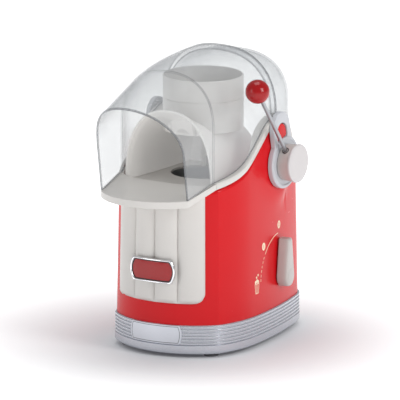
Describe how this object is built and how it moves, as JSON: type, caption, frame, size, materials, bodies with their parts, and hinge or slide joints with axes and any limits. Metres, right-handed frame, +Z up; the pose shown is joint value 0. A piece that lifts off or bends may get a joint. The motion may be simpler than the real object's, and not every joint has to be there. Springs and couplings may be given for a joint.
{
  "type": "popcorn maker",
  "caption": "Counter-top hot-air popcorn maker: egg-plan body on a ribbed base band, fluted front, serving tray, swing-back clear hood, kernel hopper, side lever and selector knob.",
  "frame": {"origin": "middle of the footprint box on the surface the feet stand on, lever included", "axes": "+Z up; the serving tray faces -Y; the lever and knob are on the +X side; the machine without its lever is symmetrical about a plane parallel to YZ"},
  "size_m": [0.213, 0.3378, 0.363],
  "materials": {
    "black_plastic": "fine moulded grain",
    "rubber_feet": "matte",
    "steel": "zinc plated",
    "silver_band": "satin metallised plastic, ribbed",
    "nameplate_metal": "satin, fine horizontal brushing",
    "red_gloss": "high gloss moulded ABS",
    "white_plastic": "warm white, low sheen",
    "badge_chrome": "polished rim with black inner line",
    "badge_red": "deep red enamel",
    "grey_plastic": "satin light grey",
    "clear_hood": "clear polycarbonate",
    "natural_nylon": "natural nylon",
    "cap_plastic": "pale satin",
    "rod_steel": "satin drawn rod",
    "ball_red": "polished phenolic",
    "chamber_aluminium": "spun",
    "seal_rubber": "silicone",
    "duct_metal": "pressed sheet",
    "mica": "mica sheet",
    "heater_wire": "oxidised resistance wire",
    "ceramic_fuse": "glazed sleeve",
    "fan_metal": "pressed sheet",
    "motor_steel": "zinc plated can",
    "board_green": "solder mask"
  },
  "bodies": {
    "base": {"base_plate": "black_plastic", "feet": "rubber_feet", "base_screws": "steel", "base_band": "silver_band", "nameplate": "nameplate_metal", "red_shell": "red_gloss", "front_panel": "white_plastic", "badge_rim": "badge_chrome", "badge_inlay": "badge_red", "chute_tray": "white_plastic", "trim_ring": "white_plastic", "inner_chute": "white_plastic", "hopper_cup": "white_plastic", "feed_throat": "grey_plastic", "rear_hood": "clear_hood", "pivot_bush_right": "natural_nylon", "pivot_bush_left": "natural_nylon", "pivot_cap_left": "grey_plastic", "return_spring": "steel", "popping_chamber": "chamber_aluminium", "chamber_seal": "seal_rubber", "heater_duct": "duct_metal", "mica_frame": "mica", "heater_coil": "heater_wire", "thermostat": "black_plastic", "thermal_fuse": "ceramic_fuse", "blower_housing": "natural_nylon", "motor_body": "motor_steel", "motor_bracket": "duct_metal", "rotary_switch": "black_plastic", "terminal_block": "natural_nylon", "rectifier_board": "board_green", "cord_gland": "black_plastic"},
    "visor": {"front_hood": "clear_hood", "hood_arm_right": "grey_plastic", "hood_arm_left": "grey_plastic", "arm_inlay_right": "red_gloss", "arm_inlay_left": "red_gloss", "arm_screws": "steel"},
    "lever": {"lever_hub": "grey_plastic", "lever_cap": "cap_plastic", "lever_rod": "rod_steel", "lever_ball": "ball_red", "lever_shaft": "steel", "metering_drum": "natural_nylon"},
    "knob": {"selector_knob": "grey_plastic", "knob_shaft": "steel"},
    "rotor": {"fan_rotor": "fan_metal", "motor_shaft": "steel"}
  },
  "joints": [
    {"name": "hood_hinge", "type": "hinge", "parent": "base", "child": "visor", "pos_m": [-0.00825, 0.06578, 0.223], "axis": [-1, 0, 0], "range_deg": [0, 80]},
    {"name": "lever_turn", "type": "hinge", "parent": "base", "child": "lever", "pos_m": [-0.00825, 0.06578, 0.223], "axis": [1, 0, 0], "range_deg": [0, 60], "stiffness_Nm_per_rad": 0.12, "springref_deg": -34.38},
    {"name": "knob_turn", "type": "hinge", "parent": "base", "child": "knob", "pos_m": [0.07321, 0.06878, 0.078], "axis": [0.991, 0.1339, 0], "range_deg": [0, 90]},
    {"name": "fan_spin", "type": "hinge", "parent": "base", "child": "rotor", "pos_m": [-0.00825, 0.02078, 0.08], "axis": [0, 0, 1], "continuous": true}
  ]
}
